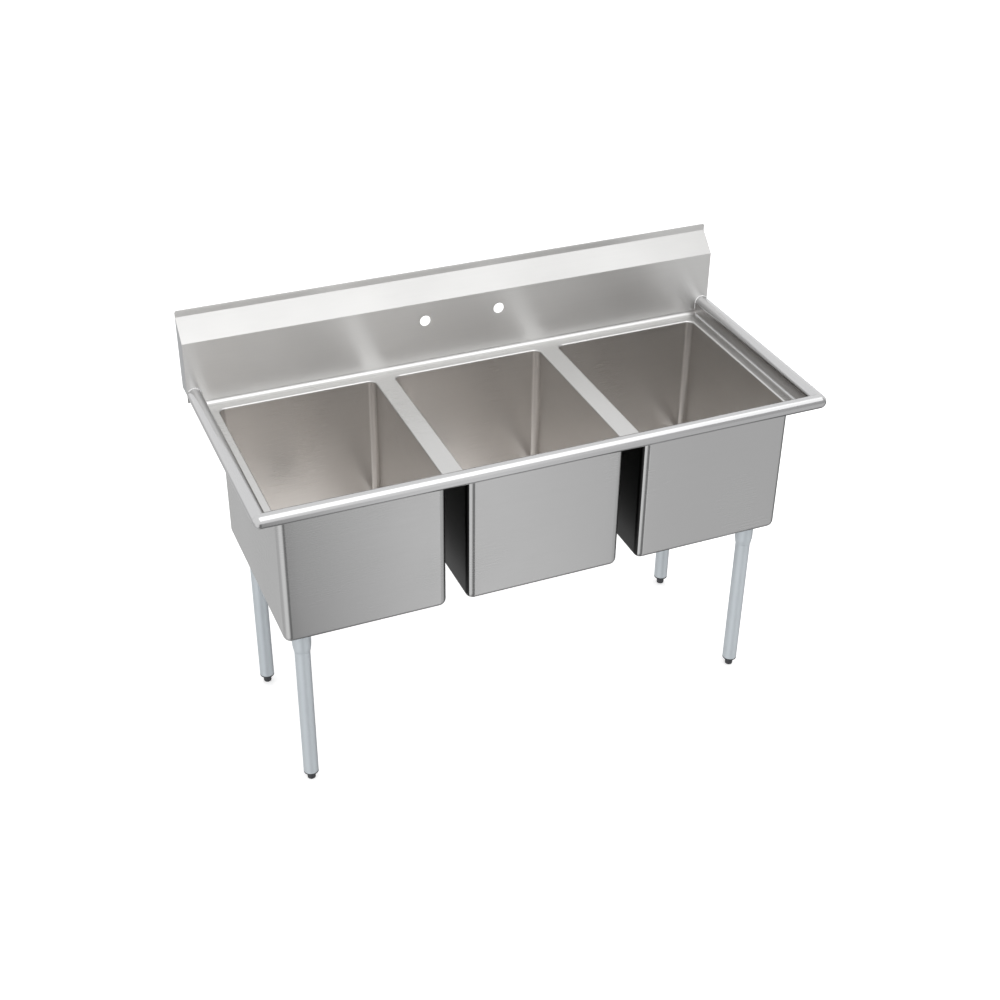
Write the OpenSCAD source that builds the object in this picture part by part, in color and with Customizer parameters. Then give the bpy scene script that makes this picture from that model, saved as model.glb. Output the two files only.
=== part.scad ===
// Three compartment sink in stainless sheet, with rolled rims, a tiled-in backsplash, four
// tubular legs on levelling feet, and a basket strainer drain in every bowl.
// +X right, -Y the front where the user stands, +Z up, origin under the middle, on the floor.

/* [Bowls] */
// Inside width of one bowl, left to right
bowl_width = 403; // [300:1:610]
// Inside length of one bowl, front to back
bowl_length = 508; // [350:1:710]
// Depth of a bowl below the deck
bowl_depth = 361; // [200:1:400]
// Inside radius of the coved bowl corners
bowl_corner = 18; // [12:1:40]
// Width left between the insides of two bowls
bowl_gap = 54.2; // [40:0.1:80]

/* [Deck] */
// Height of the deck above the floor
deck_height = 845; // [700:1:950]
// Sheet thickness
sheet = 1.2; // [0.9:0.1:2]
// From the inside of an outer bowl to the end of the sink
side_margin = 65.3; // [55:0.1:120]
// From the inside of a bowl to the front of the rolled rim
front_margin = 69; // [60:0.5:100]
// From the inside of a bowl to the wall
back_margin = 85; // [70:0.5:150]

/* [Rolled rim] */
// Outside diameter of the roll
roll_diameter = 35; // [25:0.5:45]
// Height of the roll's centre above the deck
roll_rise = 32; // [20:0.5:60]

/* [Backsplash] */
// Overall height of the sink at the top of the tile edge
overall_height = 1085; // [950:1:1300]
// Height of the tile edge strip
tile_edge = 17.5; // [10:0.5:30]
// How far the splash face stands off the wall
splash_standoff = 49; // [30:1:80]
// Height of the bend where the splash leans back to the wall
splash_break = 1018; // [900:1:1250]
// Cove radius between deck and splash
splash_cove = 12; // [6:1:20]

/* [Faucet holes] */
// Distance between the two hole centres
faucet_spacing = 203.2; // [100:0.1:210]
// Hole diameter
faucet_hole = 28.6; // [20:0.1:38]
// Height of the hole centres above the floor
faucet_height = 967; // [900:0.5:1200]

/* [Legs and feet] */
// Outside diameter of a leg tube
leg_diameter = 38.1; // [30:0.1:50]
// Wall thickness of a leg tube
leg_wall = 1.5; // [1:0.1:3]
// Leg centre from the middle of the sink
leg_x = 607; // [400:1:900]
// Front leg centre from the wall
front_leg_from_wall = 536; // [400:1:700]
// Back leg centre from the wall
back_leg_from_wall = 126; // [100:1:300]
// Lower end of a leg tube above the floor, feet screwed in
leg_clearance = 26; // [15:0.5:60]
// Outside diameter of a leg socket
socket_diameter = 46; // [40:0.5:60]
// Lower end of a leg socket above the floor
socket_height = 413; // [300:1:460]

/* [Drains] */
// Hole in the bowl for the strainer body
drain_hole = 89; // [80:0.5:100]
// Outside diameter of the tailpiece
tailpiece_diameter = 38.1; // [30:0.1:50]
// Length of the tailpiece below its nut
tailpiece_length = 100; // [50:1:150]

/* [Hidden] */
$fn = 96;
bite = 1;                      // how far a cutting tool runs past the sheet it cuts
far = 3000;                    // longer than the sink, for cutting tools

bowl_pitch = bowl_width + bowl_gap;
length = 3 * bowl_width + 2 * bowl_gap + 2 * side_margin;
depth = back_margin + bowl_length + front_margin;
end_x = length / 2;
wall_y = depth / 2;
bowl_y = wall_y - back_margin - bowl_length / 2;
bowl_floor = deck_height - bowl_depth;
bowl_underside = bowl_floor - sheet;

lip = 4;                       // bend radius where the deck turns down into a bowl
bowl_top = deck_height - lip;

roll_radius = roll_diameter / 2;
roll_x = end_x - roll_radius;
roll_y = wall_y - depth + roll_radius;
roll_z = deck_height + roll_rise;
rim_cove = 4;                  // bend radius where the deck turns up into the rim
rim_inner_x = roll_x - roll_radius;
rim_inner_y = roll_y + roll_radius;
splash_y = wall_y - splash_standoff;
notch_radius = 3.5;            // small opening left where a side roll meets the front roll
bead = 3;                      // size of the weld bead between a side rim and the splash
bead_turn = 146;               // how far round the roll the bead runs, from its inside

edge_bottom = overall_height - tile_edge;
splash_bend = 0.42 * sheet;    // how far the back of the leaning band drops at its two bends
cap_bottom = roll_z;

leg_radius = leg_diameter / 2;
socket_radius = socket_diameter / 2;
socket_taper = 17;             // height of the tapered lower end of a socket
socket_lip = 1.4;              // socket wall left at the end of the taper
leg_top = bowl_underside - 10;
leg_positions = [
    [-leg_x, wall_y - front_leg_from_wall],
    [leg_x, wall_y - front_leg_from_wall],
    [-leg_x, wall_y - back_leg_from_wall],
    [leg_x, wall_y - back_leg_from_wall]
];
screw_radius = 3;
screw_height = socket_height + 36;
screw_key = 1.6;               // radius of the hexagon key recess

collar_flange = 3.5;
collar_plug = 30;
foot_top = leg_clearance - collar_flange;
foot_radius = 10.5;
foot_stem = 8;                 // nominal radius of the screw stem and its bore
foot_play = 0.05;
foot_stem_length = 38;
foot_edge = 3;                 // rounding at the bottom of the foot

recess_depth = 3;
recess_radius = 59;
seat_z = bowl_floor - recess_depth;
drain_radius = drain_hole / 2 - 1.5;
drain_flange = 57;
drain_wall = 1.5;
cup_floor = seat_z - 46;
outlet_radius = 17.5;
nipple_radius = 23.5;
nipple_end = cup_floor - 23;
gasket = 3;
washer = 1.5;
locknut = 12;
locknut_radius = 58;
lug_count = 6;
tail_radius = tailpiece_diameter / 2;
neck_radius = tail_radius + 0.5;
coupling_radius = 31;
coupling_lip = 3;
coupling_height = 16;

stopper_radius = 24;
stopper = 5;
basket_radius = 37;
basket_floor = cup_floor + stopper;
basket_height = 32;
basket_hole = 2.5;
post_radius = 3.5;
knob_radius = 8;
knob = 6;

steel = [0.76, 0.77, 0.78];
galvanised = [0.68, 0.71, 0.73];
plastic = [0.15, 0.15, 0.16];
rubber = [0.1, 0.1, 0.1];
fibre = [0.62, 0.55, 0.42];
polished = [0.86, 0.87, 0.88];

// ---- helpers -------------------------------------------------------------------------

// A box given by its two opposite corners.
module block(low, high) {
    translate(low) cube(high - low);
}

// Puts a part at bowl number place: -1 left, 0 centre, 1 right.
module at_bowl(place) {
    translate([place * bowl_pitch, bowl_y, 0]) children();
}

// A quarter ring in the plane, in the corner between the two positive axes.
module quarter_ring(outer, inner) {
    difference() {
        intersection() {
            circle(outer);
            square(outer);
        }
        circle(inner);
    }
}

// Stands a drawing on the YZ plane and runs it along X from one x to another.
module along_x(from, to) {
    translate([from, 0, 0]) rotate([90, 0, 90]) linear_extrude(to - from) children();
}

// Stands a drawing on the XZ plane and runs it along Y from one y to another.
module along_y(from, to) {
    translate([0, to, 0]) rotate([90, 0, 0]) linear_extrude(to - from) children();
}

// ---- deck, bowls ---------------------------------------------------------------------

// The block that fills a bowl out to its inside (grow = 0) or its outside (grow = sheet).
module bowl_block(grow, top) {
    half_x = bowl_width / 2 + grow;
    half_y = bowl_length / 2 + grow;
    radius = bowl_corner + grow;
    low = bowl_floor - grow;
    rounded_box(half_x, half_y, radius, low, top);
}

// A box with round vertical and lower edges, made of exact round pieces.
module rounded_box(half_x, half_y, radius, low, top) {
    core_x = half_x - radius;
    core_y = half_y - radius;
    block([-core_x, -core_y, low], [core_x, core_y, top]);
    block([-half_x, -core_y, low + radius], [half_x, core_y, top]);
    block([-core_x, -half_y, low + radius], [core_x, half_y, top]);
    for (x = [-core_x, core_x], y = [-core_y, core_y]) {
        translate([x, y, low + radius]) cylinder(r = radius, h = top - low - radius);
        translate([x, y, low + radius]) sphere(radius);
    }
    for (x = [-core_x, core_x]) {
        translate([x, core_y, low + radius]) rotate([90, 0, 0]) {
            cylinder(r = radius, h = 2 * core_y);
        }
    }
    for (y = [-core_y, core_y]) {
        translate([-core_x, y, low + radius]) rotate([0, 90, 0]) {
            cylinder(r = radius, h = 2 * core_x);
        }
    }
}

// One bowl: the drawn pan, with a recess and a hole for its drain.
module bowl() {
    difference() {
        union() {
            bowl_block(sheet, bowl_top);
            translate([0, 0, seat_z - sheet]) {
                cylinder(r = recess_radius + sheet, h = recess_depth + sheet);
            }
        }
        bowl_block(0, bowl_top + bite);
        translate([0, 0, seat_z]) cylinder(r = recess_radius, h = recess_depth + bite);
        translate([0, 0, seat_z - sheet - bite]) cylinder(d = drain_hole, h = sheet + 2 * bite);
    }
}

// The opening that a bowl leaves in the flat of the deck.
module deck_opening() {
    half_x = bowl_width / 2 + lip;
    half_y = bowl_length / 2 + lip;
    radius = bowl_corner + lip;
    low = deck_height - sheet - bite;
    high = deck_height + bite;
    block([-half_x, -half_y + radius, low], [half_x, half_y - radius, high]);
    block([-half_x + radius, -half_y, low], [half_x - radius, half_y, high]);
    for (x = [-1, 1], y = [-1, 1]) {
        translate([x * (half_x - radius), y * (half_y - radius), low]) {
            cylinder(r = radius, h = high - low);
        }
    }
}

// The rolled-down lip round one bowl: four straight runs and four corners.
module deck_lip() {
    core_x = bowl_width / 2 - bowl_corner;
    core_y = bowl_length / 2 - bowl_corner;
    for (side = [0, 180]) {
        rotate(side) {
            along_x(-core_x, core_x) translate([-bowl_length / 2 - lip, bowl_top]) lip_section();
            along_y(-core_y, core_y) translate([-bowl_width / 2 - lip, bowl_top]) lip_section();
        }
    }
    for (x = [-1, 1], y = [-1, 1]) {
        start = (x > 0) ? (y > 0 ? 0 : 270) : (y > 0 ? 90 : 180);
        translate([x * core_x, y * core_y, bowl_top]) rotate(start) rotate_extrude(angle = 90) {
            translate([bowl_corner + lip, 0]) mirror([1, 0]) lip_section();
        }
    }
}

module lip_section() {
    quarter_ring(lip, lip - sheet);
}

// The flat deck between the rims and the splash, with a lipped opening for every bowl.
module deck() {
    low = [-rim_inner_x + rim_cove, rim_inner_y + rim_cove, deck_height - sheet];
    high = [rim_inner_x - rim_cove, splash_y - splash_cove, deck_height];
    difference() {
        block(low, high);
        for (place = [-1:1]) at_bowl(place) deck_opening();
    }
    for (place = [-1:1]) at_bowl(place) deck_lip();
}

// ---- rims ----------------------------------------------------------------------------

// Cross-section of a rim. The first axis points out of the sink from the roll's centre line,
// the second one is height: cove up from the deck, straight wall, then three quarters of a roll.
module rim_section() {
    difference() {
        translate([0, roll_z]) circle(roll_radius);
        translate([0, roll_z]) circle(roll_radius - sheet);
        translate([-roll_diameter, roll_z - roll_diameter]) square(roll_diameter);
    }
    translate([-roll_radius, deck_height + rim_cove]) square([sheet, roll_rise - rim_cove]);
    translate([-roll_radius - rim_cove, deck_height + rim_cove]) rotate(-90) {
        quarter_ring(rim_cove + sheet, rim_cove);
    }
}

// Wedge that cuts a rim at 45 degrees inside its corner. It stands on the corner of the two
// roll centre lines and keeps what lies on the front rim's side.
module mitre_wedge() {
    translate([0, 0, -bite]) linear_extrude(far) polygon([[0, 0], [100, 100], [-100, 100], [-100, 0]]);
}

// The front rim with its two rounded ends.
module front_rim() {
    difference() {
        along_x(-roll_x, roll_x) translate([roll_y, 0]) mirror([1, 0]) rim_section();
        translate([-roll_x, roll_y, 0]) mitre_wedge();
        translate([roll_x, roll_y, 0]) mirror([1, 0, 0]) mitre_wedge();
    }
    for (side = [-1, 1]) {
        start = side > 0 ? 270 : 180;
        translate([side * roll_x, roll_y, roll_z]) rotate(start) rotate_extrude(angle = 90) {
            difference() {
                circle(roll_radius);
                circle(roll_radius - sheet);
                translate([-roll_diameter, -roll_diameter]) square([roll_diameter, 2 * roll_diameter]);
            }
        }
    }
}

// The left rim, from the front corner to the splash, with the small opening at its front end.
// Its cove stops where the splash's own cove begins.
module left_rim() {
    cove_low = [-end_x, splash_y - splash_cove, deck_height - sheet - bite];
    cove_high = [-rim_inner_x + rim_cove + bite, splash_y + bite, deck_height + rim_cove];
    difference() {
        along_y(roll_y, splash_y) translate([-roll_x, 0]) mirror([1, 0]) rim_section();
        translate([-roll_x, roll_y, 0]) mirror([1, -1, 0]) mitre_wedge();
        translate([-end_x - bite, roll_y, roll_z - 0.45 * roll_radius]) rotate([0, 90, 0]) {
            cylinder(r = notch_radius, h = roll_radius);
        }
        block(cove_low, cove_high);
    }
}

// Weld bead where the left rim meets the splash: over the roll, and down its inside wall.
module weld_bead() {
    foot_z = deck_height + splash_cove;
    translate([-roll_x, splash_y, roll_z]) rotate([90, 0, 0]) rotate_extrude(angle = bead_turn) {
        translate([roll_radius, 0]) bead_section();
    }
    translate([-rim_inner_x, splash_y, foot_z]) mirror([0, 1, 0]) {
        linear_extrude(roll_z - foot_z) bead_section();
    }
}

// A quarter disc that fills the corner between two sheets.
module bead_section() {
    intersection() {
        circle(bead);
        square(bead);
    }
}

// ---- backsplash ----------------------------------------------------------------------

// Cross-section of the splash: cove, face, lean back to the wall, and the tile edge.
module splash_section() {
    translate([splash_y - splash_cove, deck_height + splash_cove]) rotate(-90) {
        quarter_ring(splash_cove + sheet, splash_cove);
    }
    polygon([
        [splash_y + sheet, deck_height + splash_cove],
        [splash_y + sheet, splash_break - splash_bend],
        [wall_y, edge_bottom - splash_bend],
        [wall_y, overall_height],
        [wall_y - sheet, overall_height],
        [wall_y - sheet, edge_bottom],
        [splash_y, splash_break],
        [splash_y, deck_height + splash_cove]
    ]);
}

// The backsplash, with its two faucet holes. Its cove runs between the two side rims.
module splash() {
    cove_low = [rim_inner_x, splash_y - splash_cove - bite, deck_height - sheet - bite];
    cove_high = [end_x + bite, splash_y + sheet + bite, deck_height + splash_cove];
    difference() {
        along_x(-end_x, end_x) splash_section();
        block(cove_low, cove_high);
        mirror([1, 0, 0]) block(cove_low, cove_high);
        for (x = [-faucet_spacing / 2, faucet_spacing / 2]) {
            translate([x, splash_y + sheet + bite, faucet_height]) rotate([90, 0, 0]) {
                cylinder(d = faucet_hole, h = sheet + 2 * bite);
            }
        }
    }
}

// Plate that closes the left end of the splash, let in behind the sheet.
module end_cap() {
    along_x(-end_x, -end_x + sheet) polygon([
        [splash_y + sheet, cap_bottom],
        [splash_y + sheet, splash_break - splash_bend],
        [wall_y, edge_bottom - splash_bend],
        [wall_y, cap_bottom]
    ]);
}

// ---- legs ----------------------------------------------------------------------------

// A socket under an outer bowl, its top cut to the round underside of that bowl.
module leg_socket(place) {
    side = place.x > 0 ? 1 : -1;
    difference() {
        translate([place.x, place.y, socket_height]) {
            translate([0, 0, socket_taper]) {
                cylinder(r = socket_radius, h = bowl_floor + bowl_corner - socket_height - socket_taper);
            }
            cylinder(r1 = leg_radius + socket_lip, r2 = socket_radius, h = socket_taper);
        }
        translate([place.x, place.y, socket_height - bite]) {
            cylinder(r = leg_radius, h = bowl_floor - socket_height + 2 * bowl_corner);
        }
        at_bowl(side) bowl_block(sheet, bowl_top);
        translate([place.x, place.y, screw_height]) rotate([-90, 0, 0]) {
            cylinder(r = screw_radius, h = 2 * socket_radius);
        }
    }
}

// A set screw through the back of a socket, pressing on the leg.
module set_screw(place) {
    difference() {
        translate([place.x, place.y, screw_height]) rotate([-90, 0, 0]) {
            difference() {
                cylinder(r = screw_radius, h = socket_radius + bite);
                translate([0, 0, socket_radius - 2]) cylinder(r = screw_key, h = 2 + 2 * bite, $fn = 6);
            }
        }
        translate([place.x, place.y, socket_height]) cylinder(r = leg_radius, h = bowl_depth);
    }
}

// A leg tube, from just above the floor to just below its bowl.
module leg(place) {
    tube = leg_top - leg_clearance;
    translate([place.x, place.y, leg_clearance]) difference() {
        cylinder(r = leg_radius, h = tube);
        translate([0, 0, -bite]) cylinder(r = leg_radius - leg_wall, h = tube + 2 * bite);
    }
}

// The plastic collar pressed into the end of a leg, threaded for its foot.
module foot_collar(place) {
    translate([place.x, place.y, foot_top]) difference() {
        union() {
            cylinder(r = leg_radius, h = collar_flange);
            cylinder(r = leg_radius - leg_wall, h = collar_flange + collar_plug);
        }
        translate([0, 0, -bite]) cylinder(r = foot_stem, h = collar_flange + collar_plug + 2 * bite);
    }
}

// A levelling foot: a rounded stub on a screw stem.
module foot(place) {
    stem = foot_stem - foot_play;
    translate([place.x, place.y, 0]) {
        rotate_extrude() {
            square([foot_radius - foot_edge, foot_top]);
            translate([0, foot_edge]) square([foot_radius, foot_top - foot_edge]);
            translate([foot_radius - foot_edge, foot_edge]) circle(foot_edge);
        }
        translate([0, 0, foot_top]) cylinder(r = stem, h = foot_stem_length);
    }
}

// ---- drains --------------------------------------------------------------------------

// The strainer body: flange, cup and threaded outlet, turned in one piece.
module drain_body() {
    rotate_extrude() polygon([
        [drain_flange, seat_z],
        [drain_flange, seat_z + 1],
        [drain_flange - 2, seat_z + 2],
        [drain_radius, seat_z + 2],
        [drain_radius - drain_wall, seat_z + 0.5],
        [drain_radius - drain_wall, cup_floor + 2],
        [drain_radius - 5, cup_floor],
        [outlet_radius, cup_floor],
        [outlet_radius, nipple_end],
        [nipple_radius, nipple_end],
        [nipple_radius, cup_floor - 3],
        [drain_radius - 4, cup_floor - 2],
        [drain_radius, cup_floor + 1],
        [drain_radius, seat_z]
    ]);
}

// A flat ring round the strainer body, given by its upper face.
module drain_ring(top, thickness, radius) {
    translate([0, 0, top - thickness]) difference() {
        cylinder(r = radius, h = thickness);
        translate([0, 0, -bite]) cylinder(r = drain_radius, h = thickness + 2 * bite);
    }
}

// The rubber ring under the bowl.
module drain_gasket() {
    drain_ring(seat_z - sheet, gasket, drain_flange);
}

// The fibre ring that lets the locknut turn.
module friction_washer() {
    drain_ring(seat_z - sheet - gasket, washer, drain_flange - 1);
}

// The large nut that clamps the strainer body, with lugs for the wrench.
module drain_locknut() {
    top = seat_z - sheet - gasket - washer;
    drain_ring(top, locknut, locknut_radius);
    for (turn = [0:360 / lug_count:359]) {
        rotate(turn) block([locknut_radius - 2, -5, top - locknut], [locknut_radius + 5, 5, top - 2]);
    }
}

// The tailpiece: a flanged tube hung from the outlet, with a neck where the nut goes round it.
module tailpiece() {
    neck = sheet + coupling_lip;
    tube = neck + tailpiece_length;
    translate([0, 0, nipple_end]) mirror([0, 0, 1]) difference() {
        union() {
            cylinder(r = nipple_radius - 0.5, h = sheet);
            cylinder(r = neck_radius, h = neck);
            cylinder(r = tail_radius, h = tube);
        }
        translate([0, 0, -bite]) cylinder(r = tail_radius - sheet, h = tube + 2 * bite);
    }
}

// The hexagonal nut that holds the tailpiece flange against the outlet.
module coupling_nut() {
    flange_bottom = nipple_end - sheet;
    translate([0, 0, flange_bottom - coupling_lip]) difference() {
        cylinder(r = coupling_radius, h = coupling_height, $fn = 6);
        translate([0, 0, -bite]) cylinder(r = neck_radius, h = coupling_height + 2 * bite);
        translate([0, 0, coupling_lip]) cylinder(r = nipple_radius, h = coupling_height);
    }
}

// The perforated basket with its rim, fixed to its post.
module basket() {
    rows = [10, 21];
    difference() {
        union() {
            translate([0, 0, basket_floor]) cylinder(r = basket_radius, h = basket_height);
            translate([0, 0, basket_floor + basket_height - 1]) cylinder(r = basket_radius + 3, h = 1);
        }
        translate([0, 0, basket_floor + 1]) cylinder(r = basket_radius - 1, h = basket_height);
        translate([0, 0, basket_floor - bite]) cylinder(r = post_radius, h = 1 + 2 * bite);
        for (row = rows, turn = [0:36:359]) {
            rotate(turn + row) translate([basket_radius - 3, 0, basket_floor + row]) rotate([0, 90, 0]) {
                cylinder(r = basket_hole, h = 3 + bite);
            }
        }
        for (turn = [0:45:359]) {
            rotate(turn) translate([basket_radius / 2, 0, basket_floor - bite]) {
                cylinder(r = basket_hole, h = 1 + 2 * bite);
            }
        }
    }
}

// The post through the basket and the stopper, with the knob to lift them by.
module basket_post() {
    post_top = basket_floor + basket_height + 2;
    translate([0, 0, cup_floor + 1]) cylinder(r = post_radius, h = post_top - cup_floor - 1);
    translate([0, 0, post_top]) cylinder(r = knob_radius, h = knob);
}

// The rubber stopper under the basket, resting on the cup floor.
module basket_stopper() {
    difference() {
        translate([0, 0, cup_floor]) cylinder(r = stopper_radius, h = stopper);
        translate([0, 0, cup_floor + 1]) cylinder(r = post_radius, h = stopper);
    }
}

// ---- the sink ------------------------------------------------------------------------

module top_deck() color(steel) deck();
module rim_front() color(steel) front_rim();
module rim_left() color(steel) left_rim();
module rim_right() color(steel) mirror([1, 0, 0]) left_rim();
module backsplash() color(steel) splash();
module end_cap_left() color(steel) end_cap();
module end_cap_right() color(steel) mirror([1, 0, 0]) end_cap();
module rim_weld_beads() color(polished) {
    weld_bead();
    mirror([1, 0, 0]) weld_bead();
}
module bowl_left() color(steel) at_bowl(-1) bowl();
module bowl_center() color(steel) at_bowl(0) bowl();
module bowl_right() color(steel) at_bowl(1) bowl();
module leg_socket_front_left() color(galvanised) leg_socket(leg_positions[0]);
module leg_socket_front_right() color(galvanised) leg_socket(leg_positions[1]);
module leg_socket_back_left() color(galvanised) leg_socket(leg_positions[2]);
module leg_socket_back_right() color(galvanised) leg_socket(leg_positions[3]);
module socket_set_screws() color(polished) for (place = leg_positions) set_screw(place);
module leg_front_left() color(galvanised) leg(leg_positions[0]);
module leg_front_right() color(galvanised) leg(leg_positions[1]);
module leg_back_left() color(galvanised) leg(leg_positions[2]);
module leg_back_right() color(galvanised) leg(leg_positions[3]);
module foot_collar_front_left() color(plastic) foot_collar(leg_positions[0]);
module foot_collar_front_right() color(plastic) foot_collar(leg_positions[1]);
module foot_collar_back_left() color(plastic) foot_collar(leg_positions[2]);
module foot_collar_back_right() color(plastic) foot_collar(leg_positions[3]);
module foot_front_left() color(plastic) foot(leg_positions[0]);
module foot_front_right() color(plastic) foot(leg_positions[1]);
module foot_back_left() color(plastic) foot(leg_positions[2]);
module foot_back_right() color(plastic) foot(leg_positions[3]);
module drain_body_left() color(polished) at_bowl(-1) drain_body();
module drain_body_center() color(polished) at_bowl(0) drain_body();
module drain_body_right() color(polished) at_bowl(1) drain_body();
module drain_gasket_left() color(rubber) at_bowl(-1) drain_gasket();
module drain_gasket_center() color(rubber) at_bowl(0) drain_gasket();
module drain_gasket_right() color(rubber) at_bowl(1) drain_gasket();
module friction_washer_left() color(fibre) at_bowl(-1) friction_washer();
module friction_washer_center() color(fibre) at_bowl(0) friction_washer();
module friction_washer_right() color(fibre) at_bowl(1) friction_washer();
module locknut_left() color(galvanised) at_bowl(-1) drain_locknut();
module locknut_center() color(galvanised) at_bowl(0) drain_locknut();
module locknut_right() color(galvanised) at_bowl(1) drain_locknut();
module tailpiece_left() color(polished) at_bowl(-1) tailpiece();
module tailpiece_center() color(polished) at_bowl(0) tailpiece();
module tailpiece_right() color(polished) at_bowl(1) tailpiece();
module coupling_nut_left() color(polished) at_bowl(-1) coupling_nut();
module coupling_nut_center() color(polished) at_bowl(0) coupling_nut();
module coupling_nut_right() color(polished) at_bowl(1) coupling_nut();
module basket_left() color(polished) at_bowl(-1) basket();
module basket_center() color(polished) at_bowl(0) basket();
module basket_right() color(polished) at_bowl(1) basket();
module basket_post_left() color(polished) at_bowl(-1) basket_post();
module basket_post_center() color(polished) at_bowl(0) basket_post();
module basket_post_right() color(polished) at_bowl(1) basket_post();
module basket_stopper_left() color(rubber) at_bowl(-1) basket_stopper();
module basket_stopper_center() color(rubber) at_bowl(0) basket_stopper();
module basket_stopper_right() color(rubber) at_bowl(1) basket_stopper();

top_deck();
rim_front();
rim_left();
rim_right();
backsplash();
end_cap_left();
end_cap_right();
rim_weld_beads();
bowl_left();
bowl_center();
bowl_right();
leg_socket_front_left();
leg_socket_front_right();
leg_socket_back_left();
leg_socket_back_right();
socket_set_screws();
leg_front_left();
leg_front_right();
leg_back_left();
leg_back_right();
foot_collar_front_left();
foot_collar_front_right();
foot_collar_back_left();
foot_collar_back_right();
foot_front_left();
foot_front_right();
foot_back_left();
foot_back_right();
drain_body_left();
drain_body_center();
drain_body_right();
drain_gasket_left();
drain_gasket_center();
drain_gasket_right();
friction_washer_left();
friction_washer_center();
friction_washer_right();
locknut_left();
locknut_center();
locknut_right();
tailpiece_left();
tailpiece_center();
tailpiece_right();
coupling_nut_left();
coupling_nut_center();
coupling_nut_right();
basket_left();
basket_center();
basket_right();
basket_post_left();
basket_post_center();
basket_post_right();
basket_stopper_left();
basket_stopper_center();
basket_stopper_right();
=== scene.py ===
"""The looks of the three compartment sink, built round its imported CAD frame."""

import math

import bpy
from mathutils import Matrix, Vector


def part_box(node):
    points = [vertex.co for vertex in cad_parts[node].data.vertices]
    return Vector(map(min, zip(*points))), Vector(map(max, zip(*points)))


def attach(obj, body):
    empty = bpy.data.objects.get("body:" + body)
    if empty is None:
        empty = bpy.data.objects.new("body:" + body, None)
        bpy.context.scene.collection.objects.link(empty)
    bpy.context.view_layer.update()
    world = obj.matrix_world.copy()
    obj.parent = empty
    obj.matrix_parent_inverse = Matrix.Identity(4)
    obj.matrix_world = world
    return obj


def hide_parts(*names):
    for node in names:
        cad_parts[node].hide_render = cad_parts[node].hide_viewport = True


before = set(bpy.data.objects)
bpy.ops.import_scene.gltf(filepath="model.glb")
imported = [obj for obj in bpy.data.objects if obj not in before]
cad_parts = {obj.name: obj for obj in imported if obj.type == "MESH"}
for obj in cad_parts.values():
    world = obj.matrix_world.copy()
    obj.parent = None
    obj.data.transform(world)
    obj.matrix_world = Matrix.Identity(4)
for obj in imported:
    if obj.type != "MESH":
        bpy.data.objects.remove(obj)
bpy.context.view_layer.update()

BODY = "sink"
SIDES = ("left", "center", "right")
LEGS = ("front_left", "front_right", "back_left", "back_right")

# ---- sizes, in metres, read from the frame where a box gives them ---------------------
SHEET = 0.0012                  # gauge of every sheet
BOWL_CORNER = 0.018             # a bowl's upright corners and the cove round its floor
LIP = 0.004                     # rounding of a bowl opening's edge
RIM_COVE = 0.004                # cove between the deck and a rim
ROLL_RADIUS = 0.0175            # outside of the rolled rims
SPLASH_COVE = 0.012             # cove between the deck and the splash
SPLASH_DEPTH = 0.049            # from the splash's face to the wall
SPLASH_BREAK = 1.018            # height at which the face folds back
EDGE_HEIGHT = 0.0175            # the upright strip along the splash's top
BEND = 0.0028                   # the splash's two folds
RECESS_DEPTH = 0.003
RECESS_RADIUS = 0.059
DRAIN_HOLE = 0.0445
FAUCET_X = 0.1016
FAUCET_Z = 0.967
FAUCET_RADIUS = 0.0143
LEG_WALL = 0.0015
SOCKET_TAPER = 0.017            # height of a leg socket's tapered end

deck_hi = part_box("top_deck")[1]
front_lo, front_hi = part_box("rim_front")
splash_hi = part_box("backsplash")[1]
bowl_boxes = {side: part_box("bowl_" + side) for side in SIDES}
DECK_Z = deck_hi.z
END_X = splash_hi.x
WALL_Y = splash_hi.y
TOP_Z = splash_hi.z
ROLL_X = END_X - ROLL_RADIUS
ROLL_Y = front_lo.y + ROLL_RADIUS
ROLL_Z = front_hi.z - ROLL_RADIUS
SPLASH_Y = WALL_Y - SPLASH_DEPTH
EDGE_BOTTOM = TOP_Z - EDGE_HEIGHT
INNER_WALL = ROLL_X - ROLL_RADIUS

# ---- steps of the curves and grids ----------------------------------------------------
ROUND_STEPS = 64                # round a turned piece
SIDE_STEPS = 14                 # along one side of a bowl's opening
ARC_STEPS = 12                  # round one of its corners, an even number
LIP_STEPS = 8
WALL_STEPS = 8
COVE_STEPS = 12
PAN_STEPS = 6
TURN_STEPS = 16                 # round a front corner of the rims
FRONT_STEPS = 24                # along the front rim
RIM_STEPS = 15                  # along a side rim, behind its notch
HOLE_STEPS = 12                 # along one side of the square round a faucet hole


# ---- mesh helpers ---------------------------------------------------------------------
def gap(p, q):
    return (Vector(q) - Vector(p)).length


def line_length(points):
    return sum(gap(p, q) for p, q in zip(points, points[1:]))


def halfway(line, other):
    return [tuple((Vector(p) + Vector(q)) / 2) for p, q in zip(line, other)]


def arc(centre, radius, start, end, steps):
    """Points of an arc in a plane, from one angle to another, in degrees."""
    out = []
    for k in range(steps + 1):
        a = math.radians(start + (end - start) * k / steps)
        out.append((centre[0] + radius * math.cos(a), centre[1] + radius * math.sin(a)))
    return out


def round_corner(before, corner, after, radius, steps):
    """Points of the arc that rounds one corner of an open line in a plane."""
    p, c, n = Vector(before), Vector(corner), Vector(after)
    a, b = (p - c).normalized(), (n - c).normalized()
    half = a.angle(b) / 2
    run = radius / math.tan(half)
    middle = c + (a + b).normalized() * (radius / math.sin(half))
    first, last = c + a * run - middle, c + b * run - middle
    turn = first.angle(last) * (1 if first.x * last.y - first.y * last.x > 0 else -1)
    return [tuple(middle + Matrix.Rotation(turn * k / steps, 2) @ first) for k in range(steps + 1)]


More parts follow.
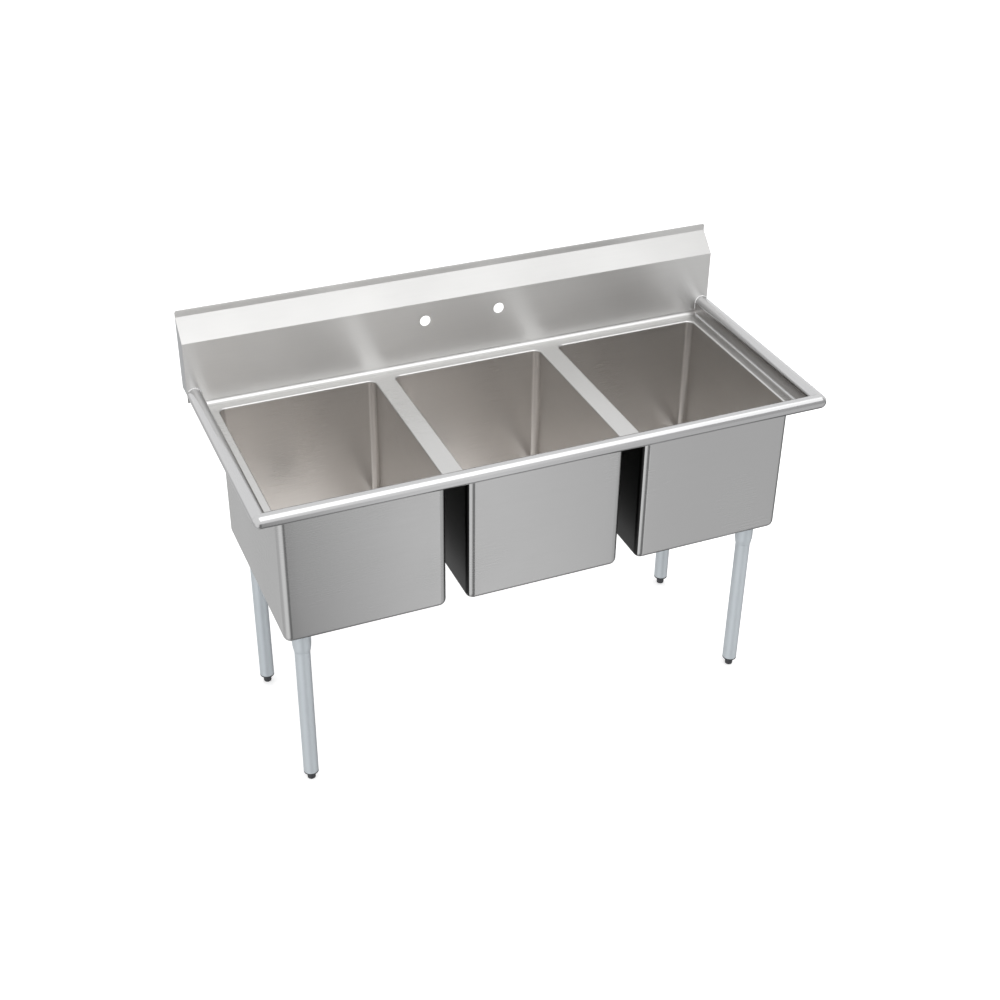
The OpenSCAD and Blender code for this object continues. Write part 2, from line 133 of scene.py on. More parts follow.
class Builder:
    """Collects the faces of one piece, with coordinates that run along its brushed grain."""

    def __init__(self):
        self.points = []
        self.faces = []
        self.grain = []

    def grid(self, rows, closed=False, along="ring", plane=None, flip=False, skip=()):
        """Joins rows of points by quads.

        The grain runs along the rows ("ring") or across them ("rail"), unless plane gives it
        for each point. Faces named in skip, by row and column, are left out.
        """
        count = len(rows[0])
        base = len(self.points)
        for row in rows:
            self.points += [Vector(p) for p in row]
        spans = count if closed else count - 1
        longest = max(rows, key=line_length)
        run = [0.0]
        for j in range(spans):
            run.append(run[-1] + gap(longest[j], longest[(j + 1) % count]))
        rise = [0.0]
        for row, after in zip(rows, rows[1:]):
            rise.append(rise[-1] + max(gap(row[j], after[j]) for j in (0, count // 2)))
        for i in range(len(rows) - 1):
            for j in range(spans):
                if (i, j) in skip:
                    continue
                k = (j + 1) % count
                ids = [base + a * count + b for a, b in ((i, j), (i, k), (i + 1, k), (i + 1, j))]
                if plane:
                    marks = [plane(self.points[n]) for n in ids]
                else:
                    marks = [(run[j], rise[i]), (run[j + 1], rise[i]),
                             (run[j + 1], rise[i + 1]), (run[j], rise[i + 1])]
                    if along == "rail":
                        marks = [(b, a) for a, b in marks]
                if flip:
                    ids.reverse()
                    marks.reverse()
                self.faces.append(ids)
                self.grain.append(marks)

    def merged(self, step):
        """The points with near ones made one, and the faces and their grain on those points."""
        lookup, remap, points = {}, [], []
        for p in self.points:
            key = tuple(round(c / step) for c in p)
            if key not in lookup:
                lookup[key] = len(points)
                points.append(p)
            remap.append(lookup[key])
        faces, grain = [], []
        for ids, marks in zip(self.faces, self.grain):
            corners = {}
            for n, mark in zip(ids, marks):
                corners.setdefault(remap[n], mark)
            if len(corners) > 2:
                faces.append(list(corners))
                grain += corners.values()
        return points, faces, grain

    def finish(self, name, material, slot, replaces, body=BODY, thickness=0.0, merge=1e-6,
               sharp=32):
        """Makes the object, and hands it to the frame."""
        points, faces, grain = self.merged(merge)
        mesh = bpy.data.meshes.new(name)
        mesh.from_pydata(points, [], faces)
        layer = mesh.uv_layers.new(name="grain")
        for loop, mark in zip(layer.data, grain):
            loop.uv = mark
        mesh.validate()
        mesh.shade_smooth()
        mesh.set_sharp_from_angle(angle=math.radians(sharp))
        mesh.materials.append(material)
        obj = bpy.data.objects.new(name, mesh)
        bpy.context.scene.collection.objects.link(obj)
        if thickness:
            solid = obj.modifiers.new("sheet", "SOLIDIFY")
            solid.thickness = thickness
            solid.offset = -1
            solid.use_even_offset = True
            solid.use_quality_normals = True
            even = obj.modifiers.new("normals", "WEIGHTED_NORMAL")
            even.keep_sharp = True
        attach(obj, body)
        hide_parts(*replaces)
        return obj


# ---- materials ------------------------------------------------------------------------
EVEN = (1, 1, 1)                # no stretch
NOISE_RANGE = (0.3, 0.7)        # where most of a noise texture's values lie
BRUSH_MARKS = (14, 2200, 1)     # stretch of the finest scratches, along and across the grain
BRUSH_STREAKS = (2.2, 160, 1)   # and of the broader streaks
BRUSH_DEPTH = 0.000004


class Nodes:
    """The node tree of a material or a world, with short ways to add to it."""

    def __init__(self, owner):
        owner.use_nodes = True
        self.nodes = owner.node_tree.nodes
        self.links = owner.node_tree.links

    def put(self, node, key, value):
        """Gives an input of a node a value of its own, or links an output to it."""
        if isinstance(value, bpy.types.NodeSocket):
            self.links.new(value, node.inputs[key])
        else:
            node.inputs[key].default_value = value

    def add(self, kind, output, inputs, **settings):
        """Adds a node, and returns one of its outputs."""
        node = self.nodes.new("ShaderNode" + kind)
        for key, value in settings.items():
            setattr(node, key, value)
        for key, value in inputs.items():
            self.put(node, key, value)
        return node.outputs[output]

    def calc(self, operation, a, b):
        return self.add("Math", "Value", {0: a, 1: b}, operation=operation)

    def ranged(self, source, start, end, low, high, curve="SMOOTHSTEP"):
        """Maps start to low and end to high, and goes no further than those."""
        limits = {"From Min": start, "From Max": end, "To Min": low, "To Max": high}
        return self.add("MapRange", "Result", {**limits, "Value": source},
                        interpolation_type=curve)

    def noise(self, source, stretch, scale, detail):
        place = self.add("Mapping", "Vector", {"Scale": stretch, "Vector": source})
        return self.add("TexNoise", "Fac", {"Scale": scale, "Detail": detail, "Vector": place})

    def vary(self, noise, low, high):
        return self.ranged(noise, *NOISE_RANGE, low, high, "LINEAR")

    def mix(self, factor, dark, light):
        colours = {"A": (*dark, 1), "B": (*light, 1), "Factor": factor}
        return self.add("Mix", "Result", colours, data_type="RGBA")

    def bump(self, height, distance, **below):
        return self.add("Bump", "Normal", {"Distance": distance, "Height": height, **below})


class Paint(Nodes):
    """A material with one shader."""

    def __init__(self, name):
        self.material = bpy.data.materials.new(name)
        super().__init__(self.material)

    def finish(self, **inputs):
        """Sets the shader's inputs, whose names are given with _ for each space."""
        for key, value in inputs.items():
            self.put(self.nodes["Principled BSDF"], key.replace("_", " "), value)
        return self.material


def shade(colour, gain):
    return tuple(min(1.0, c * gain) for c in colour)


def brushed(name, colour, rough, spread=0.05, wave=0.0006, anisotropy=0.55):
    """Brushed sheet steel: streaks along the grain, cloudy polish, slight waves in the sheet."""
    paint = Paint(name)
    uv = paint.add("UVMap", "UV", {}, uv_map="grain")
    place = paint.add("TexCoord", "Object", {})
    fine = paint.noise(uv, BRUSH_MARKS, 1.0, 2.0)
    streak = paint.noise(uv, BRUSH_STREAKS, 1.0, 3.0)
    cloud = paint.noise(place, EVEN, 3.2, 3.0)
    waves = paint.noise(place, EVEN, 2.6, 1.0)
    tone = paint.calc("ADD", paint.vary(streak, 0, 0.6), paint.vary(cloud, 0, 0.4))
    gloss = paint.calc("ADD", paint.vary(fine, rough - 0.04, rough + 0.02),
                       paint.vary(cloud, -0.02, 0.04))
    return paint.finish(
        Base_Color=paint.mix(tone, shade(colour, 1 - spread), shade(colour, 1 + spread)),
        Roughness=gloss,
        Normal=paint.bump(fine, BRUSH_DEPTH, Normal=paint.bump(waves, wave)),
        Metallic=1.0,
        Anisotropic=anisotropy,
        Anisotropic_Rotation=0.25,
        Tangent=paint.add("Tangent", "Tangent", {}, direction_type="UV_MAP", uv_map="grain"))


def rough_metal(name, colour, rough, spread, scale, distance, metallic=1.0):
    """Cast, plated or galvanised metal: mottled tone and roughness, with a little relief."""
    paint = Paint(name)
    place = paint.add("TexCoord", "Object", {})
    grain = paint.noise(place, EVEN, scale, 4.0)
    broad = paint.noise(place, (1, 1, 0.35), scale / 6, 2.0)
    tone = paint.calc("ADD", paint.vary(grain, 0, 0.5), paint.vary(broad, 0, 0.5))
    return paint.finish(
        Base_Color=paint.mix(tone, shade(colour, 1 - spread), shade(colour, 1 + spread)),
        Roughness=paint.vary(grain, rough - 0.06, rough + 0.06),
        Normal=paint.bump(grain, distance),
        Metallic=metallic)


def soft_plastic(name, colour, rough, scale=900, distance=0.0001):
    """Moulded plastic, rubber or fibre: fine texture and slight dust."""
    paint = Paint(name)
    place = paint.add("TexCoord", "Object", {})
    grain = paint.noise(place, EVEN, scale, 3.0)
    dust = paint.noise(place, EVEN, scale / 20, 2.0)
    return paint.finish(
        Base_Color=paint.mix(paint.vary(dust, 0, 1), shade(colour, 0.8), shade(colour, 1.35)),
        Roughness=paint.vary(grain, rough - 0.08, rough + 0.08),
        Normal=paint.bump(grain, distance))


steel_face = brushed("steel_sheet", (0.66, 0.657, 0.65), 0.3, spread=0.012)
steel_splash = brushed("steel_splash", (0.69, 0.686, 0.676), 0.42, 0.012, 0.0004, 0.8)
# A darker copy of the splash steel for the upward-facing band below the tile edge: painted shade
# against the overhead light.
painted_band_shade = brushed("steel_splash_band_painted_shade", (0.63, 0.627, 0.62), 0.42, 0.012, 0.0004, 0.8)
steel_roll = brushed("steel_roll", (0.61, 0.61, 0.615), 0.19, 0.015, 0.0003, 0.15)
# A darker copy of the sheet steel for the rims' upright inner walls: a painted dark reflection.
painted_wall_reflection = brushed("steel_rim_wall_painted_dark_reflection", (0.34, 0.328, 0.322), 0.3, spread=0.03)
steel_outer = brushed("steel_bowl_outside", (0.565, 0.565, 0.565), 0.24, 0.01, 0.0004)
# Near-black steel for the bowl sides that face the gaps between bowls: painted shade for the deep
# gaps.
painted_gap_shade = brushed("steel_bowl_gap_painted_shade", (0.035, 0.035, 0.035), 0.4, spread=0.1)
bowl_steels_with_painted_reflection = {}
# The right bowl's inside is a darker copy of the same steel (0.7 against 0.78): a painted dark
# reflection.
for side, tone in (("left", 0.78), ("center", 0.78), ("right", 0.7)):
    warm = (tone, 0.972 * tone, 0.945 * tone)
    bowl_steels_with_painted_reflection[side] = brushed("steel_bowl_inside_" + side, warm, 0.31, 0.012, 0.0004, 0.6)
steel_cap = rough_metal("steel_end_cap", (0.56, 0.575, 0.59), 0.35, 0.03, 300, 0.00002)
steel_weld = rough_metal("steel_weld", (0.75, 0.75, 0.75), 0.2, 0.1, 600, 0.0001)
galvanised = rough_metal("galvanised_tube", (0.53, 0.57, 0.6), 0.45, 0.03, 120, 0.00005, 0.5)
zinc = rough_metal("cast_zinc", (0.5, 0.51, 0.52), 0.45, 0.12, 400, 0.0002)
polished = rough_metal("drain_steel", (0.66, 0.66, 0.65), 0.18, 0.05, 250, 0.00003)
chrome = rough_metal("chromed_brass", (0.78, 0.78, 0.79), 0.09, 0.03, 200, 0.00002)
black_plastic = soft_plastic("black_plastic", (0.035, 0.036, 0.04), 0.45)
rubber = soft_plastic("black_rubber", (0.03, 0.03, 0.03), 0.7, 1200, 0.0002)
fibre = soft_plastic("pressed_fibre", (0.42, 0.33, 0.2), 0.8, 1500, 0.0003)


# ---- deck -----------------------------------------------------------------------------
def rounded_loop(cx, cy, hx, hy, radius, z):
    """A rounded rectangle, counter-clockwise from the lower end of its right side."""
    out = []
    turns = ((1, 1, 0), (-1, 1, 90), (-1, -1, 180), (1, -1, 270))
    previous = (cx + hx, cy - hy + radius)
    for sx, sy, start in turns:
        centre = (cx + sx * (hx - radius), cy + sy * (hy - radius))
        corner = arc(centre, radius, start, start + 90, ARC_STEPS)
        for k in range(SIDE_STEPS):
            x, y = Vector(previous).lerp(Vector(corner[0]), k / SIDE_STEPS)
            out.append((x, y, z))
        out += [(x, y, z) for x, y in corner[:-1]]
        previous = corner[-1]
    return out


def cell_loop(loop, x0, x1, y0, y1, z):
    """The points on a rectangle that face the points of a rounded loop inside it."""
    out = []
    quarter = SIDE_STEPS + ARC_STEPS
    half = ARC_STEPS // 2
    edges = (x1, y1, x0, y0)
    corners = ((x1, y1), (x0, y1), (x0, y0), (x1, y0))
    for q in range(4):
        upright = q % 2 == 0
        edge, following = edges[q], edges[(q + 1) % 4]
        start = loop[q * quarter + SIDE_STEPS]
        end = loop[(q + 1) * quarter % len(loop)]
        for p in loop[q * quarter:q * quarter + SIDE_STEPS]:
            out.append((edge, p[1], z) if upright else (p[0], edge, z))
        first = (edge, start[1]) if upright else (start[0], edge)
        last = (end[0], following) if upright else (following, end[1])
        for k in range(ARC_STEPS):
            if k <= half:
                a, b, t = first, corners[q], k / half
            else:
                a, b, t = corners[q], last, (k - half) / half
            out.append((a[0] + (b[0] - a[0]) * t, a[1] + (b[1] - a[1]) * t, z))
    return out


def flat_grain(p):
    return (p.x, p.y)


def bowl_inside(side):
    """Centre and half sizes of the inside of a bowl."""
    lo, hi = bowl_boxes[side]
    return ((lo.x + hi.x) / 2, (lo.y + hi.y) / 2,
            (hi.x - lo.x) / 2 - SHEET, (hi.y - lo.y) / 2 - SHEET)


deck_front = ROLL_Y + ROLL_RADIUS + RIM_COVE
deck_back = SPLASH_Y - SPLASH_COVE
cell_edges = [-(INNER_WALL - RIM_COVE)]
for a, b in zip(SIDES, SIDES[1:]):
    cell_edges.append((bowl_boxes[a][1].x + bowl_boxes[b][0].x) / 2)
cell_edges.append(INNER_WALL - RIM_COVE)

deck = Builder()
for side, x0, x1 in zip(SIDES, cell_edges, cell_edges[1:]):
    cx, cy, hx, hy = bowl_inside(side)
    lip = []
    for k in range(LIP_STEPS + 1):
        a = math.radians(90 * k / LIP_STEPS)
        out = LIP - LIP * math.sin(a)
        drop = LIP * (1 - math.cos(a))
        lip.append(rounded_loop(cx, cy, hx + out, hy + out, BOWL_CORNER + out, DECK_Z - drop))
    outline = cell_loop(lip[0], x0, x1, deck_front, deck_back, DECK_Z)
    deck.grid([outline, halfway(outline, lip[0]), lip[0]], closed=True, plane=flat_grain)
    deck.grid(lip, closed=True)
deck.finish("deck_sheet", steel_face, "stainless", ("top_deck",), thickness=SHEET)


# ---- bowls ----------------------------------------------------------------------------
SMALLEST_CORNER = 1e-5          # of the cove's last row, which has none
RECESS_ROWS = (                 # in from the recess's edge, and down
    (0, 0), (0.0007, 0.0002), (0.0018, 0.0011), (0.0026, 0.0021), (0.0038, 0.0028),
    (0.005, RECESS_DEPTH), (RECESS_RADIUS - DRAIN_HOLE, RECESS_DEPTH))
WALL_SHARE = 0.97               # faces further out than this share of the bowl are its sides
GAP_SHARE = 0.8                 # sides nearer than this share of the sink's end face a gap


def bowl(side):
    cx, cy, hx, hy = bowl_inside(side)
    lo, hi = bowl_boxes[side]
    floor = lo.z + SHEET + RECESS_DEPTH
    cove_top = floor + BOWL_CORNER
    make = Builder()
    walls = []
    for k in range(WALL_STEPS + 1):
        z = hi.z + (cove_top - hi.z) * k / WALL_STEPS
        walls.append(rounded_loop(cx, cy, hx, hy, BOWL_CORNER, z))
    make.grid(walls, closed=True)
    cove = []
    for k in range(COVE_STEPS + 1):
        a = math.radians(90 * k / COVE_STEPS)
        inset = BOWL_CORNER * (1 - math.cos(a))
        corner = max(BOWL_CORNER - inset, SMALLEST_CORNER)
        z = cove_top - BOWL_CORNER * math.sin(a)
        cove.append(rounded_loop(cx, cy, hx - inset, hy - inset, corner, z))
    make.grid(cove, closed=True)
    angles = [math.atan2(p[1] - cy, p[0] - cx) for p in cove[-1]]
    recess = []
    for inward, down in RECESS_ROWS:
        radius = RECESS_RADIUS - inward
        recess.append([(cx + radius * math.cos(a), cy + radius * math.sin(a), floor - down)
                       for a in angles])
    pan = []
    for k in range(PAN_STEPS + 1):
        pan.append([tuple(Vector(p).lerp(Vector(q), k / PAN_STEPS))
                    for p, q in zip(cove[-1], recess[0])])
    make.grid(pan, closed=True, plane=flat_grain)
    make.grid(recess, closed=True)
    obj = make.finish("bowl_pan_" + side, bowl_steels_with_painted_reflection[side], "stainless", ("bowl_" + side,),
                      thickness=SHEET, merge=2e-5)
    # The sheet's outer side takes the material after its inner side's, so the list holds two
    # pairs: the usual one, and one for the sides that face a gap between bowls, whose outer side
    # is near-black steel: painted shade for the dark gap.
    for material in (steel_outer, bowl_steels_with_painted_reflection[side], painted_gap_shade):
        obj.data.materials.append(material)
    obj.modifiers["sheet"].material_offset = 1
    obj.modifiers["sheet"].material_offset_rim = 1
    for face in obj.data.polygons:
        x = face.center.x
        if abs(x - cx) > WALL_SHARE * hx and abs(x) < GAP_SHARE * END_X:
            face.material_index = 2


for side in SIDES:
    bowl(side)


# ---- rims -----------------------------------------------------------------------------
# The rolled rim's section: how far out from the roll's centre line, and the height.
COVE_END = DECK_Z + RIM_COVE
profile = arc((-ROLL_RADIUS - RIM_COVE, COVE_END), RIM_COVE, -90, 0, 8)
profile += [(-ROLL_RADIUS, COVE_END + (ROLL_Z - COVE_END) * t) for t in (0.34, 0.67)]
profile += arc((0, ROLL_Z), ROLL_RADIUS, 180, -90, 54)


def corner_point(side, u, z, angle):
    """A point of a front corner: outside the centre line it turns, inside it is mitred."""
    if u >= 0:
        a = math.radians(angle)
        return (side * (ROLL_X + u * math.cos(a)), ROLL_Y - u * math.sin(a), z)
    return (side * (ROLL_X + u), ROLL_Y - u, z)


def corner_section(side, turned):
    return [corner_point(side, u, z, 90 * turned / TURN_STEPS) for u, z in profile]


def finish_rim(make, name):
    """Makes a rim, and gives its upright inner wall darker steel: a painted dark reflection."""
    rim = make.finish("rolled_rim_" + name, steel_roll, "stainless", ("rim_" + name,),
                      thickness=SHEET, sharp=50)
    rim.data.materials.append(painted_wall_reflection)
    near = 0.0001
    for face in rim.data.polygons:
        x, y, z = face.center
        inside = abs(x) < INNER_WALL + near and y > ROLL_Y + ROLL_RADIUS - near
        if inside and COVE_END < z < ROLL_Z:
            # the inner wall faces take the darker steel: painted dark reflection
            face.material_index = 1


front = Builder()
sections = [corner_section(-1, k) for k in range(TURN_STEPS + 1)]
for k in range(1, FRONT_STEPS):
    x = -1 + 2 * k / FRONT_STEPS
    sections.append([(x * (ROLL_X + min(u, 0)), ROLL_Y - u, z) for u, z in profile])
sections += [corner_section(1, k) for k in range(TURN_STEPS, -1, -1)]
front.grid(sections, along="rail")
finish_rim(front, "front")

# The small opening low on the outside of a side rim, just behind its mitre.
NOTCH_STEP = 0.0022             # length of a row of faces there, as a share of the rim's
NOTCH_ROWS = (3, 4, 4, 3, 2)    # how many faces each row leaves out, up and down
NOTCH_DROP = 0.45               # how far below the roll's centre, as a share of its radius
NOTCH_END = 0.04                # where the rim's plain rows start, as a share of its length


def off_notch(n):
    """How far a point of the section is from the notch's middle."""
    u, z = profile[n]
    return abs(z - ROLL_Z + NOTCH_DROP * ROLL_RADIUS) - u


middle = min(range(len(profile)), key=off_notch)
notch_faces = {(row, middle + n) for row, reach in enumerate(NOTCH_ROWS)
               for n in range(-reach, reach)}
shares = [NOTCH_STEP * k for k in range(1, len(NOTCH_ROWS) + 1)]
shares += [NOTCH_END + (1 - NOTCH_END) * k / RIM_STEPS for k in range(RIM_STEPS + 1)]
for name, side in (("left", -1), ("right", 1)):
    rim = Builder()
    rows = [corner_section(side, 0)]
    for t in shares:
        rows.append([(x, y + (SPLASH_Y - y) * t, z) for x, y, z in rows[0]])
    rim.grid(rows, along="rail", flip=side < 0, skip=notch_faces)
    finish_rim(rim, name)


# ---- backsplash -----------------------------------------------------------------------
HOLE_CELL = 0.03                # half the square round a faucet hole
EDGE_ROUND = 0.006              # rounding of the tile edge's top corners
EDGE_TICKS = (0, 0.08, 0.25, 0.5, 0.75, 1)
PLAIN_ROWS = (0.895, 0.92)      # heights of the rows below the faucet holes
PLAIN_COLUMNS = (0.2, 0.3, 0.45, 0.6)

face_back = WALL_Y - SHEET
fold = (SPLASH_Y, SPLASH_BREAK)
edge_foot = (face_back, EDGE_BOTTOM)
ticks = [-HOLE_CELL + 2 * HOLE_CELL * k / HOLE_STEPS for k in range(HOLE_STEPS + 1)]
cove_rows = arc((SPLASH_Y - SPLASH_COVE, DECK_Z + SPLASH_COVE), SPLASH_COVE, -90, 0, 12)
face_rows = cove_rows[-1:] + [(SPLASH_Y, z) for z in PLAIN_ROWS]
first_row = len(face_rows)
face_rows += [(SPLASH_Y, FAUCET_Z + t) for t in ticks]
face_rows += round_corner((SPLASH_Y, DECK_Z), fold, edge_foot, BEND, 6)
face_rows += round_corner(fold, edge_foot, (face_back, TOP_Z), BEND, 6)
face_rows += [(face_back, TOP_Z - EDGE_ROUND), (face_back, TOP_Z)]

columns = [FAUCET_X + t for t in ticks] + list(PLAIN_COLUMNS)
columns += [END_X - EDGE_ROUND * t for t in EDGE_TICKS]
columns = sorted([-x for x in columns] + columns)


def rounded_top(x):
    """Height of the tile edge at x."""
    reach = max(0.0, EDGE_ROUND - (END_X - abs(x)))
    return TOP_Z - EDGE_ROUND + math.sqrt(EDGE_ROUND ** 2 - reach ** 2)


def face_grain(p):
    return (p.x + END_X, p.z - DECK_Z - SPLASH_COVE)


splash = Builder()
rows = [[(x, y, z) for x in columns] for y, z in face_rows[:-1]]
rows.append([(x, face_back, rounded_top(x)) for x in columns])
skipped = set()
for cx in (-FAUCET_X, FAUCET_X):
    first_column = min(range(len(columns)), key=lambda n: abs(columns[n] - (cx - HOLE_CELL)))
    skipped |= {(first_row + i, first_column + j)
                for i in range(HOLE_STEPS) for j in range(HOLE_STEPS)}
splash.grid(rows, skip=skipped)
square = [(t, -HOLE_CELL) for t in ticks[:-1]] + [(HOLE_CELL, t) for t in ticks[:-1]]
square += [(-x, -z) for x, z in square]
for cx in (-FAUCET_X, FAUCET_X):
    outer, hole = [], []
    for x, z in square:
        a = math.atan2(z, x)
        outer.append((cx + x, SPLASH_Y, FAUCET_Z + z))
        hole.append((cx + FAUCET_RADIUS * math.cos(a), SPLASH_Y,
                     FAUCET_Z + FAUCET_RADIUS * math.sin(a)))
    splash.grid([outer, halfway(outer, hole), hole], closed=True, plane=face_grain)
cove_columns = [x for x in columns if abs(x) < INNER_WALL - 0.001]
cove_columns = [-INNER_WALL] + cove_columns + [INNER_WALL]
splash.grid([[(x, y, z) for x in cove_columns] for y, z in cove_rows])
splash = splash.finish("splash_sheet", steel_splash, "stainless", ("backsplash",),
                       thickness=SHEET, merge=2e-6, sharp=50)
splash.data.materials.append(steel_face)
splash.data.materials.append(painted_band_shade)
for face in splash.data.polygons:
    if face.center.z < DECK_Z + SPLASH_COVE:
        face.material_index = 1
    # the band between the fold and the tile edge takes the darker copy: painted shade
    elif SPLASH_BREAK < face.center.z < EDGE_BOTTOM:
        face.material_index = 2


# ---- weld beads -----------------------------------------------------------------------
BEAD_RADIUS = 0.0024
BEAD_RIPPLE = 0.13              # how much the bead swells, as a share of its radius
BEAD_PITCH = 0.0024             # distance between ripples
BEAD_FADE = 0.25                # how thin the bead's ends are
BEAD_START = 34                 # where it starts on the roll, in degrees up from the outside
BEAD_SIDES = 12


def bead(side):
    """Rings of a rippled bead over the roll and down its inside wall."""
    path = []
    for k in range(90):
        a = math.radians(BEAD_START + (180 - BEAD_START) * k / 90)
        out = Vector((side * math.cos(a), 0, math.sin(a)))
        path.append((Vector((side * ROLL_X, SPLASH_Y, ROLL_Z)) + out * ROLL_RADIUS, out))
    foot = DECK_Z + SPLASH_COVE
    for k in range(26):
        z = ROLL_Z + (foot - ROLL_Z) * k / 25
        path.append((Vector((side * INNER_WALL, SPLASH_Y, z)), Vector((-side, 0, 0))))
    rings, run = [], 0.0
    for n, (point, out) in enumerate(path):
        if n:
            run += gap(path[n - 1][0], point)
        swell = 1 + BEAD_RIPPLE * math.sin(run * 2 * math.pi / BEAD_PITCH)
        fade = min(1.0, BEAD_FADE + n / 6, BEAD_FADE + (len(path) - 1 - n) / 5)
        radius = BEAD_RADIUS * swell * fade
        ring = []
        for k in range(BEAD_SIDES):
            a = 2 * math.pi * k / BEAD_SIDES
            forward = max(radius * math.sin(a), -SHEET / 2)
            ring.append(tuple(point + out * (radius * math.cos(a)) - Vector((0, forward, 0))))
        rings.append(ring)
    return rings


beads = Builder()
for side in (-1, 1):
    beads.grid(bead(side), closed=True, along="rail", flip=side < 0)
beads.finish("weld_beads", steel_weld, "weld", ("rim_weld_beads",), sharp=60)


# ---- legs -----------------------------------------------------------------------------
def lathe(section, x, y):
    """Rings of a turned piece. The section lists radius and height, from end to end."""
    rings = []
    for radius, z in section:
        turns = (2 * math.pi * k / ROUND_STEPS for k in range(ROUND_STEPS))
        rings.append([(x + radius * math.cos(a), y + radius * math.sin(a), z) for a in turns])
    return rings


def bevelled(points, size):
    """A closed section whose corners are cut by a small flat."""
    out = []
    for k, p in enumerate(points):
        p, before, after = Vector(p), Vector(points[k - 1]), Vector(points[(k + 1) % len(points)])
        for other in (before, after):
            reach = min(size, (other - p).length * 0.4)
            out.append(tuple(p + (other - p).normalized() * reach))
    out.append(out[0])
    return out


def tube(name, section, x, y, replaces):
    make = Builder()
    make.grid(lathe(section, x, y), closed=True, along="rail")
    make.finish(name, galvanised, "galvanised", replaces, sharp=38)


for leg in LEGS:
    lo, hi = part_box("leg_" + leg)
    x, y = (lo.x + hi.x) / 2, (lo.y + hi.y) / 2
    radius = (hi.x - lo.x) / 2
    bore = radius - LEG_WALL
    section = [(radius, lo.z), (radius, hi.z), (bore, hi.z), (bore, lo.z)]
    tube("leg_tube_" + leg, bevelled(section, 0.0004), x, y, ("leg_" + leg,))
    lo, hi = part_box("leg_socket_" + leg)
    big = (hi.x - lo.x) / 2
    bend = lo.z + SOCKET_TAPER
    bore = radius + 0.0002
    section = [(radius + SHEET, lo.z), (big - 0.0004, bend - 0.002), (big, bend + 0.003),
               (big, hi.z), (bore, hi.z), (bore, lo.z)]
    tube("leg_sleeve_" + leg, bevelled(section, 0.0006), x, y, ("leg_socket_" + leg,))

# ---- CAD nodes that keep their shape ---------------------------------------------------
KEPT = {"end_cap_left": steel_cap, "end_cap_right": steel_cap, "socket_set_screws": zinc}
for leg in LEGS:
    KEPT["foot_collar_" + leg] = black_plastic
    KEPT["foot_" + leg] = black_plastic
for side in SIDES:
    KEPT["drain_body_" + side] = polished
    KEPT["drain_gasket_" + side] = rubber
    KEPT["friction_washer_" + side] = fibre
    KEPT["locknut_" + side] = zinc
    KEPT["tailpiece_" + side] = polished
    KEPT["coupling_nut_" + side] = chrome
    KEPT["basket_" + side] = polished
    KEPT["basket_post_" + side] = polished
    KEPT["basket_stopper_" + side] = rubber
for node, material in KEPT.items():
    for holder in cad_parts[node].material_slots:
        holder.material = material


# ---- stage ----------------------------------------------------------------------------
FLOOR_HALF = 14.0
corners = [(x * FLOOR_HALF, y * FLOOR_HALF, 0) for x, y in ((-1, -1), (1, -1), (1, 1), (-1, 1))]
floor_mesh = bpy.data.meshes.new("floor")
floor_mesh.from_pydata(corners, [], [(0, 1, 2, 3)])
floor_mesh.materials.append(Paint("floor_paint").finish(
    Base_Color=(0.88, 0.88, 0.88, 1), Roughness=0.9, Specular_IOR_Level=0.0,
    Emission_Color=(1, 1, 1, 1), Emission_Strength=0.45))
floor = bpy.data.objects.new("floor", floor_mesh)
floor.visible_glossy = False
bpy.context.scene.collection.objects.link(floor)

# The room: white above, and below it a dimmer level that only reflections see. Its tone goes
# by direction: toward +Z is up, toward -Y is in front of the sink, toward -X is to its left.
world = bpy.data.worlds.new("studio")
bpy.context.scene.world = world
sky = Nodes(world)
toward = sky.nodes.new("ShaderNodeSeparateXYZ")
sky.put(toward, "Vector", sky.add("TexCoord", "Generated", {}))
x, y, z = (toward.outputs[axis] for axis in "XYZ")
front_share = sky.ranged(y, -0.35, 0.15, 1.0, 0.0)
back_share = sky.calc("SUBTRACT", 1.0, front_share)
low_front = sky.ranged(x, 0.14, 0.29, 0.22, 0.96)
low_front = sky.calc("MULTIPLY", low_front, sky.ranged(x, 0.3, 0.42, 1.0, 0.68))
low_front = sky.calc("ADD", low_front, sky.ranged(x, -0.5, -0.15, 0.75, 0.0))
low_back = sky.ranged(x, -0.1, 0.2, 0.63, 0.1)
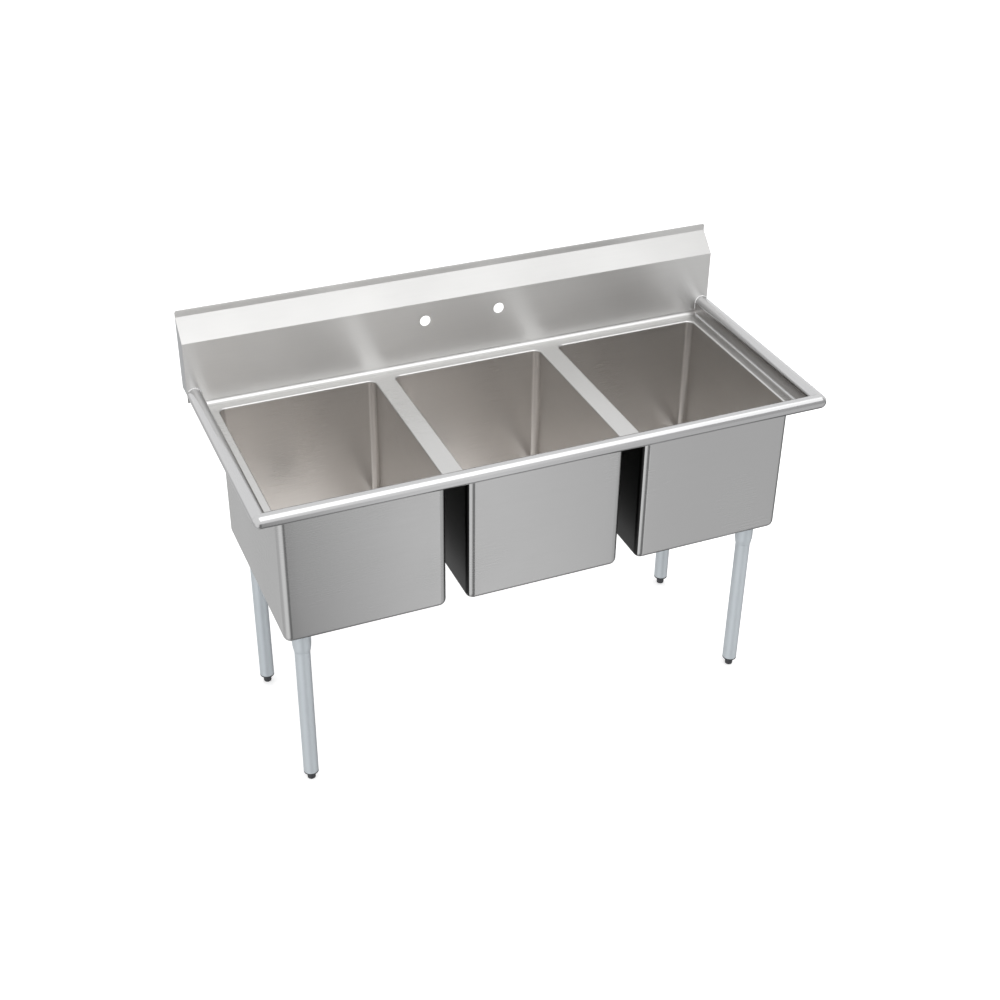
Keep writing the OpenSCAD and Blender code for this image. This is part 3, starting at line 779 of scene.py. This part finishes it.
low = sky.calc("ADD", sky.calc("MULTIPLY", low_front, front_share),
               sky.calc("MULTIPLY", low_back, back_share))
dimmed = sky.calc("MULTIPLY", front_share, sky.ranged(x, 0.33, 0.5, 0.0, 0.55))
high = sky.calc("SUBTRACT", 1.0, dimmed)
above = sky.ranged(z, -0.3, -0.05, 0.0, 1.0)
below = sky.calc("SUBTRACT", 1.0, above)
level = sky.calc("ADD", sky.calc("MULTIPLY", above, high), sky.calc("MULTIPLY", low, below))
sky.put(sky.nodes["Background"], "Color", (1, 1, 1, 1))
sky.put(sky.nodes["Background"], "Strength", level)

light = bpy.data.lights.new("overhead", "AREA")
light.shape = "RECTANGLE"
light.size, light.size_y = 4.2, 3.2
light.energy = 42
softbox = bpy.data.objects.new("overhead", light)
softbox.location = (0.9, -1.6, 3.4)
aim = Vector((0.5, 0, 0.8)) - Vector((0.9, -1.6, 3.4))
softbox.rotation_euler = aim.to_track_quat("-Z", "Y").to_euler()
bpy.context.scene.collection.objects.link(softbox)


# ---- camera ---------------------------------------------------------------------------
YAW, PITCH, ROLL = (math.radians(a) for a in (23.285, 33.343, 0.807))
eye = Vector((-1.3175, -3.0417, 2.7487))
ahead = Vector((math.sin(YAW) * math.cos(PITCH), math.cos(YAW) * math.cos(PITCH),
                -math.sin(PITCH)))
right = Vector((math.cos(YAW), -math.sin(YAW), 0))
up = right.cross(ahead)
across = right * math.cos(ROLL) + up * math.sin(ROLL)
upward = up * math.cos(ROLL) - right * math.sin(ROLL)
camera_data = bpy.data.cameras.new("camera")
camera_data.sensor_width = 36
camera_data.lens = 55.53
camera_data.clip_end = 60
camera = bpy.data.objects.new("camera", camera_data)
camera.matrix_world = Matrix((
    (across.x, upward.x, -ahead.x, eye.x),
    (across.y, upward.y, -ahead.y, eye.y),
    (across.z, upward.z, -ahead.z, eye.z),
    (0, 0, 0, 1)))
bpy.context.scene.collection.objects.link(camera)
bpy.context.scene.camera = camera
bpy.context.scene.view_settings.view_transform = "Standard"

bpy.context.view_layer.update()
